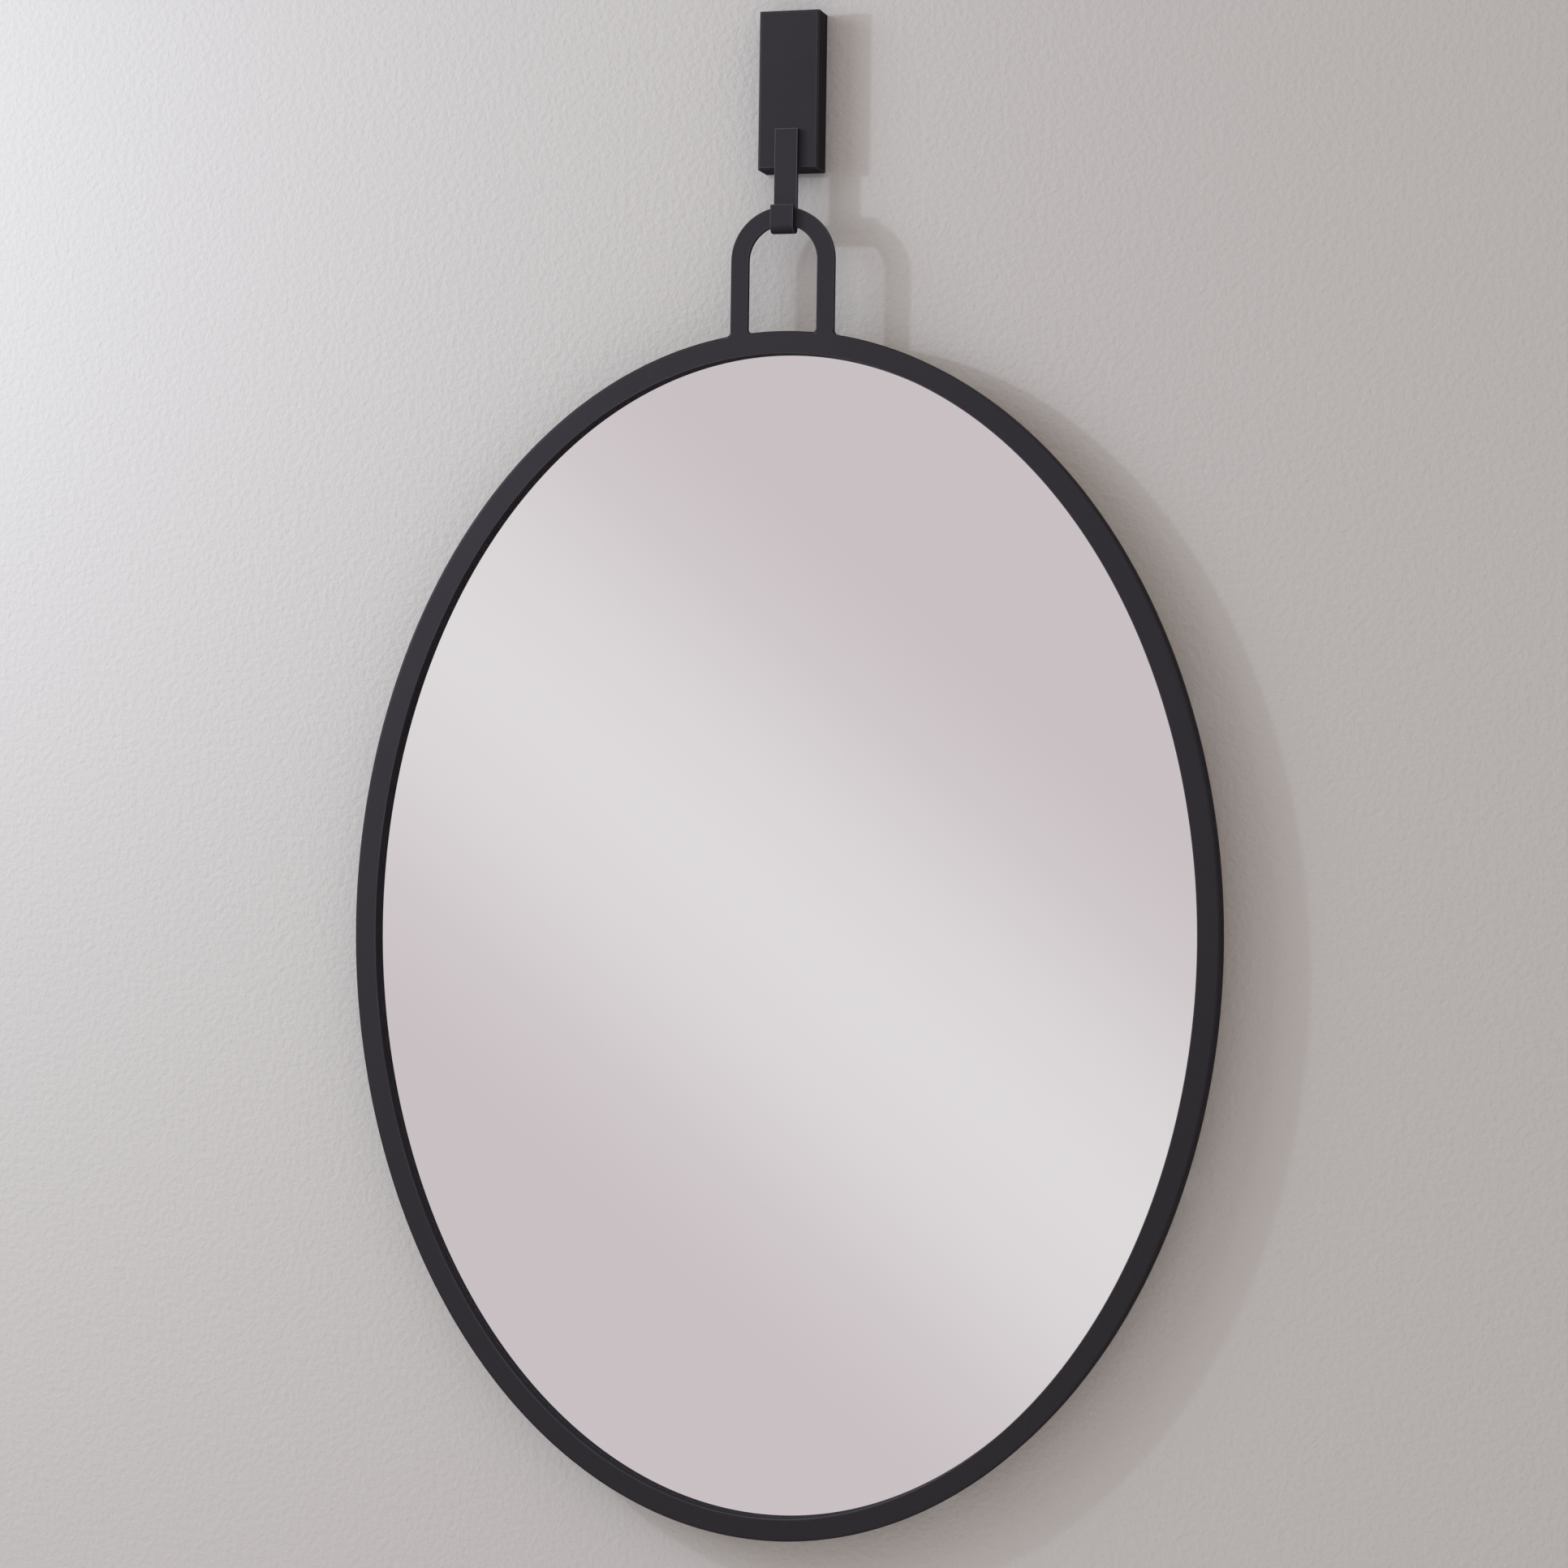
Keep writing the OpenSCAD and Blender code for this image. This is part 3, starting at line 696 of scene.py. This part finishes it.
def swept_band(shape, material):
    """Oval band of the frame, swept from its rounded cross section"""
    low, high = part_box("frame_rim")
    radii = ((high.x - low.x) / 2, (high.z - low.z) / 2)
    centre = (low + high) / 2
    front, back = low.y, high.y
    small = (shape.small_rounding, shape.small_steps)
    section = rounded_section([
        (0, back, *small), (0, front, shape.outer_rounding, shape.outer_steps),
        (shape.width, front, *small), (shape.width, front + shape.lip, *small),
        (shape.wall, front + shape.lip, *small), (shape.wall, back, *small)])
    rows = []
    for step in range(shape.steps):
        places = [oval_point(math.tau * step / shape.steps, inset, radii) for inset, _ in section]
        rows.append([(centre.x + place.x, depth, centre.z + place.y)
                     for place, (_, depth) in zip(places, section)])
    return skin("frame_band", rows, True, material)


def rim_height(across):
    """Height of the outer edge of the frame at a distance from its middle"""
    low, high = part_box("frame_rim")
    share = 2 * across / (high.x - low.x)
    return (low.z + high.z) / 2 + (high.z - low.z) / 2 * math.sqrt(1 - share ** 2)


def foot_reach(height, edge, radius):
    """How far a rounded foot on an edge reaches beyond its leg; below the edge it narrows again"""
    if height < edge:
        return max(radius - (edge - height), 0)
    rise = min(height - edge, radius)
    return radius - math.sqrt(radius ** 2 - (radius - rise) ** 2)


def loop_outline(shape):
    """Pairs of an outer and an inner point along the loop, from the right foot to the left one"""
    outer = shape.width / 2
    inner = outer - shape.bar
    outer_edge, inner_edge = rim_height(outer + shape.foot), rim_height(inner - shape.inner_foot)
    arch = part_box("hanging_loop")[1].z - outer
    foot_steps = math.ceil((inner_edge + shape.foot - outer_edge + shape.sink) / shape.foot_step)
    leg = []
    for step in range(foot_steps + 1):
        height = outer_edge - shape.sink + step * shape.foot_step
        leg.append((Vector((outer + foot_reach(height, outer_edge, shape.foot), height)),
                    Vector((inner - foot_reach(height, inner_edge, shape.inner_foot), height))))
    top = []
    for step in range(shape.arch_steps + 1):
        turn = math.pi * step / shape.arch_steps
        way = Vector((math.cos(turn), math.sin(turn)))
        top.append((outer * way + Vector((0, arch)), inner * way + Vector((0, arch))))
    flip = Matrix.Diagonal((-1, 1))
    return leg + top + [(flip @ out, flip @ into) for out, into in reversed(leg)]


def swept_loop(shape, band, rounding, material):
    """Hanging loop, a flat bar whose front edges are rounded like the band's in its feet"""
    low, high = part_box("hanging_loop")
    back = (rounding, band.small_steps)
    rows = []
    for out, into in loop_outline(shape):
        width = (into - out).length
        flare = min((width - shape.bar) / shape.inner_foot, 1)
        front = (rounding + flare * (band.outer_rounding - rounding), band.outer_steps)
        section = rounded_section([(0, high.y, *back), (0, low.y, *front),
                                   (width, low.y, *front), (width, high.y, *back)])
        places = [out.lerp(into, inset / width) for inset, _ in section]
        rows.append([(place.x, depth, place.y) for place, (_, depth) in zip(places, section)])
    return skin("loop_bar", rows, False, material)


def unite(piece, other):
    """Joins another closed mesh into a piece, and removes the other"""
    join = piece.modifiers.new("join", "BOOLEAN")
    join.operation = "UNION"
    join.solver = "EXACT"
    join.object = other
    with bpy.context.temp_override(object=piece, active_object=piece):
        bpy.ops.object.modifier_apply(modifier=join.name)
    bpy.data.objects.remove(other)


class MIRROR_OT_dress_frame(Operator):
    """Make the oval band with its hanging loop welded on, and coat it"""

    bl_idname = "mirror.dress_frame"
    bl_label = "Frame and loop"

    def execute(self, context):
        look = context.scene.mirror_look
        coat = coat_material(look.coat)
        band = swept_band(look.band, coat)
        unite(band, swept_loop(look.loop, look.band, look.rounding.bar, coat))
        band.data.shade_smooth()
        band.modifiers.new("flat_faces", "WEIGHTED_NORMAL").weight = LARGE_FACE_WEIGHT
        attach(band, "mirror")
        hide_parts("frame_rim", "hanging_loop")
        return {"FINISHED"}


class MIRROR_OT_dress_bracket(Operator):
    """Coat the bracket box and the strap hook"""

    bl_idname = "mirror.dress_bracket"
    bl_label = "Bracket and hook"

    def execute(self, context):
        look = context.scene.mirror_look
        coat = coat_material(look.coat)
        dress(["hook_strap"], coat, look.rounding.bar)
        dress(["bracket_box"], coat, look.rounding.box)
        return {"FINISHED"}


class MIRROR_OT_dress_glass(Operator):
    """Silver the face of the glass, grind its edge and paint its back"""

    bl_idname = "mirror.dress_glass"
    bl_label = "Mirror glass"

    def execute(self, context):
        look = context.scene.mirror_look
        dress(["mirror_glass"], mirror_face_material(look.glass), look.rounding.board)
        mesh = NODES["mirror_glass"].data
        mesh.materials.append(glass_edge_material(look.glass))
        mesh.materials.append(mirror_back_material(look.glass))
        edge, back = 1, 2
        for face in mesh.polygons:
            if face.normal.y > FACING:
                face.material_index = back
            elif face.normal.y > -FACING:
                face.material_index = edge
        return {"FINISHED"}


class MIRROR_OT_dress_board(Operator):
    """Give the backing board its fibres"""

    bl_idname = "mirror.dress_board"
    bl_label = "Backing board"

    def execute(self, context):
        look = context.scene.mirror_look
        dress(["backing_board"], board_material(look.board), look.rounding.board)
        return {"FINISHED"}


class MIRROR_OT_dress_sheet(Operator):
    """Plate the wall plate, the clips and the washers"""

    bl_idname = "mirror.dress_sheet"
    bl_label = "Plate, clips and washers"

    def execute(self, context):
        look = context.scene.mirror_look
        dress(["wall_plate", "retaining_clips", "strap_washers"], zinc_sheet_material(look.metal),
              look.rounding.sheet)
        return {"FINISHED"}


class MIRROR_OT_dress_screws(Operator):
    """Plate the screws, and blacken the two that show in the box"""

    bl_idname = "mirror.dress_screws"
    bl_label = "Screws"

    def execute(self, context):
        look = context.scene.mirror_look
        dress(["clip_screws", "bumper_screws", "strap_screws"], plated_screw_material(look.metal),
              look.rounding.screw)
        dress(["box_screws"], black_screw_material(look.metal), look.rounding.screw)
        return {"FINISHED"}


class MIRROR_OT_dress_padding(Operator):
    """Give bumpers, setting blocks and tape their rubber and foam"""

    bl_idname = "mirror.dress_padding"
    bl_label = "Bumpers, blocks and tape"

    def execute(self, context):
        look = context.scene.mirror_look
        dress(["wall_bumpers", "setting_blocks"], rubber_material(look.padding), look.rounding.soft)
        dress(["glass_tape"], foam_material(look.padding), look.rounding.soft)
        return {"FINISHED"}


def flat_sheet(name, centre, along, up, material):
    """Flat four-sided sheet round a centre, from two half sides"""
    corners = [centre + a * along + b * up for a, b in ((-1, -1), (1, -1), (1, 1), (-1, 1))]
    return mesh_object(name, corners, [(0, 1, 2, 3)], material)


def one_sided_paint(name, colour, look):
    """Matt paint that can't be seen from behind, so that the back of the mirror can"""
    material, tree, shader = new_material(name)
    grain = place_group(tree, grain_group(), size=look.grain, height=look.grain_height)
    feed(tree, shader, base_color=rgba(colour), roughness=look.roughness, specular_ior_level=look.gloss,
         normal=grain["Normal"])
    unseen = add_node(tree, "ShaderNodeBsdfTransparent").outputs[0]
    behind = add_node(tree, "ShaderNodeNewGeometry").outputs["Backfacing"]
    shown = add_node(tree, "ShaderNodeMixShader", {0: behind, 1: shader.outputs[0], 2: unseen}).outputs[0]
    tree.links.new(shown, tree.nodes["Material Output"].inputs["Surface"])
    return material


class MIRROR_OT_build_stage(Operator):
    """Put up the wall and the floor"""

    bl_idname = "mirror.build_stage"
    bl_label = "Wall and floor"

    def execute(self, context):
        look = context.scene.mirror_look.stage
        right, up, room = Vector((1, 0, 0)), Vector((0, 0, 1)), Vector((0, -1, 0))
        half_wall, half_floor = look.wall_size / 2, look.floor_size / 2
        middle = (look.floor_height + half_wall) * up - look.wall_gap * room
        wall = flat_sheet("wall", middle, half_wall * right, half_wall * up,
                          one_sided_paint("wall_paint", look.wall, look))
        wall.visible_shadow = False
        middle = look.floor_height * up + (look.floor_front - half_floor) * room
        floor = flat_sheet("floor", middle, half_floor * right, -half_floor * room,
                           one_sided_paint("floor_paint", look.floor, look))
        return {"FINISHED"}


def area_lamp(name, place, aim, size, power, colour):
    """Square lamp that faces a point"""
    lamp = bpy.data.lights.new(name, "AREA")
    lamp.size = size
    lamp.energy = power
    lamp.color = colour
    made = bpy.data.objects.new(name, lamp)
    made.location = place
    made.rotation_euler = (Vector(aim) - made.location).to_track_quat("-Z", "Y").to_euler()
    made.visible_camera = False
    bpy.context.scene.collection.objects.link(made)


def even_light(tree, look):
    """Even light by direction, strongest from the front and above"""
    way = add_node(tree, "ShaderNodeTexCoord").outputs["Generated"]
    facing = add_node(tree, "ShaderNodeVectorMath", {0: way, 1: Vector(look.even_from).normalized()},
                      operation="DOT_PRODUCT").outputs["Value"]
    share = remap(tree, facing, (look.even_spread, 1), (look.even_least, 1))
    return mix_colours(tree, share, rgba(look.even_colour, 0), rgba(look.even_colour, look.even_strength))


def room_light(tree, look):
    """Light of the room by direction: a soft stripe that falls to the right, and bright and dark parts"""
    way = add_node(tree, "ShaderNodeTexCoord").outputs["Generated"]
    along = Vector((math.cos(look.stripe_slope), 0, -math.sin(look.stripe_slope)))
    across = Vector(look.stripe_place).cross(along).normalized()
    off_stripe = add_node(tree, "ShaderNodeVectorMath", {0: way, 1: across},
                          operation="DOT_PRODUCT").outputs["Value"]
    shade = remap(tree, maths(tree, "ABSOLUTE", off_stripe), (0, look.stripe_half), smooth=True)
    room = mix_colours(tree, shade, rgba(look.stripe), rgba(look.shade))
    side, _, height = add_node(tree, "ShaderNodeSeparateXYZ", {0: way}).outputs
    parts = ((side, (-look.left_start, -look.left_end), look.left),
             (side, (look.right_start, look.right_end), look.right),
             (height, (look.high_start, look.high_end), look.high),
             (height, (-look.low_start, -look.low_end), look.low))
    for value, span, light in parts:
        room = mix_colours(tree, remap(tree, value, span, smooth=True), room, rgba(light))
    return room


class MIRROR_OT_set_lamps(Operator):
    """Set the lamps, the even light of the world and the room that glossy faces show"""

    bl_idname = "mirror.set_lamps"
    bl_label = "Lamps"

    def execute(self, context):
        look = context.scene.mirror_look.lamps
        area_lamp("key_lamp", look.key_place, look.aim, look.key_size, look.key_power, look.key_colour)
        area_lamp("window_light", look.window_place, look.aim, look.window_size, look.window_power,
                  look.window_colour)
        area_lamp("rear_lamp", look.rear_place, look.aim, look.rear_size, look.rear_power,
                  look.rear_colour)
        world = bpy.data.worlds.new("even_light")
        world.use_nodes = True
        world.cycles.sampling_method = "NONE"
        context.scene.world = world
        tree = world.node_tree
        ray = add_node(tree, "ShaderNodeLightPath").outputs
        room = context.scene.mirror_look.room
        plain = mix_colours(tree, ray["Is Camera Ray"], even_light(tree, look), rgba(room.backdrop))
        colour = mix_colours(tree, ray["Is Glossy Ray"], plain, room_light(tree, room))
        tree.links.new(colour, tree.nodes["Background"].inputs["Color"])
        return {"FINISHED"}


class MIRROR_OT_set_camera(Operator):
    """Place the camera at the viewing angle of the picture"""

    bl_idname = "mirror.set_camera"
    bl_label = "Camera"

    def execute(self, context):
        look = context.scene.mirror_look.camera
        lens = bpy.data.cameras.new("camera")
        lens.lens = look.focal_length
        camera = bpy.data.objects.new("camera", lens)
        camera.matrix_world = (Matrix.Translation(look.place)
                               @ Matrix.Rotation(look.heading, 4, "Z")
                               @ Matrix.Rotation(math.radians(90) + look.tilt, 4, "X")
                               @ Matrix.Rotation(look.roll, 4, "Z"))
        context.scene.collection.objects.link(camera)
        context.scene.camera = camera
        context.scene.view_settings.view_transform = "Standard"
        return {"FINISHED"}


STEPS = (MIRROR_OT_dress_frame, MIRROR_OT_dress_bracket, MIRROR_OT_dress_glass, MIRROR_OT_dress_board,
         MIRROR_OT_dress_sheet, MIRROR_OT_dress_screws, MIRROR_OT_dress_padding, MIRROR_OT_build_stage,
         MIRROR_OT_set_lamps, MIRROR_OT_set_camera)


class MIRROR_PT_steps(Panel):
    """Steps that dress the mirror, and the values that they use"""

    bl_idname = "MIRROR_PT_steps"
    bl_label = "Oval wall mirror"
    bl_space_type = "VIEW_3D"
    bl_region_type = "UI"
    bl_category = "Mirror"

    def draw(self, context):
        column = self.layout.column()
        for step in STEPS:
            column.operator(step.bl_idname)
        look = context.scene.mirror_look
        for group_name in MirrorLook.__annotations__:
            group = getattr(look, group_name)
            box = self.layout.box()
            box.label(text=group_name.title())
            for value_name in type(group).__annotations__:
                box.prop(group, value_name)


CLASSES = (CoatLook, BandShape, LoopShape, GlassLook, BoardLook, MetalLook, PaddingLook, RoundingLook,
           StageLook, RoomLook, LampLook, CameraLook, MirrorLook, *STEPS, MIRROR_PT_steps)


def register():
    """Registers the classes and hangs the look on the scene"""
    for each in CLASSES:
        bpy.utils.register_class(each)
    bpy.types.Scene.mirror_look = PointerProperty(type=MirrorLook)


def unregister():
    """Takes back what register did"""
    del bpy.types.Scene.mirror_look
    for each in reversed(CLASSES):
        bpy.utils.unregister_class(each)


def main():
    """Dresses the mirror step by step"""
    register()
    bpy.ops.mirror.dress_frame()
    bpy.ops.mirror.dress_bracket()
    bpy.ops.mirror.dress_glass()
    bpy.ops.mirror.dress_board()
    bpy.ops.mirror.dress_sheet()
    bpy.ops.mirror.dress_screws()
    bpy.ops.mirror.dress_padding()
    bpy.ops.mirror.build_stage()
    bpy.ops.mirror.set_lamps()
    bpy.ops.mirror.set_camera()


if __name__ == "__main__":
    main()
